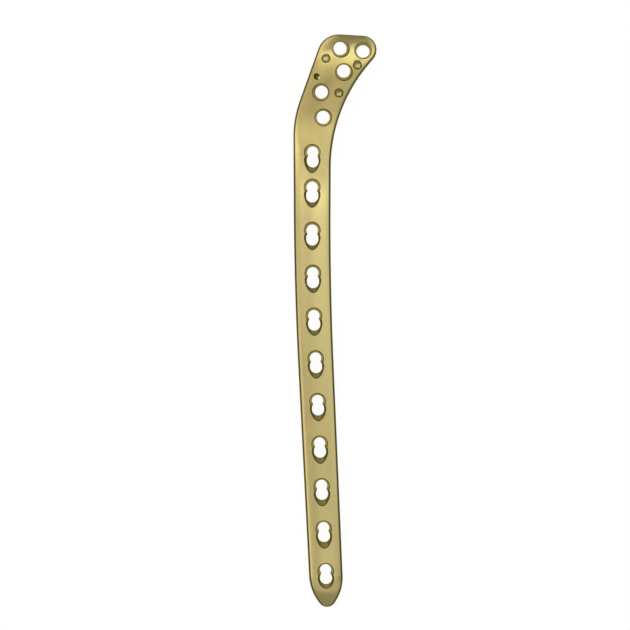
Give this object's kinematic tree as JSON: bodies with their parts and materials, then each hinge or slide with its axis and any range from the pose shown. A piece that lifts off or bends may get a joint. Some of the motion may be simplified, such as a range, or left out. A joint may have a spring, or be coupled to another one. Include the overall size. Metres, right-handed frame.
{
  "type": "bone plate",
  "caption": "Long narrow implant plate with a curved, offset head, round conical screw holes in the head and figure-of-eight combination holes along the shaft.",
  "frame": {"origin": "bottom centre of the plate's box, on the plane that the underside's long edges rest on", "axes": "+Y along the shaft from its tip to the head, +Z away from the bone, +X towards the side that the head turns to"},
  "size_m": [0.025, 0.1742, 0.0087],
  "materials": {
    "anodised_titanium": null
  },
  "bodies": {
    "root": {"bone_plate": "anodised_titanium"}
  },
  "joints": []
}
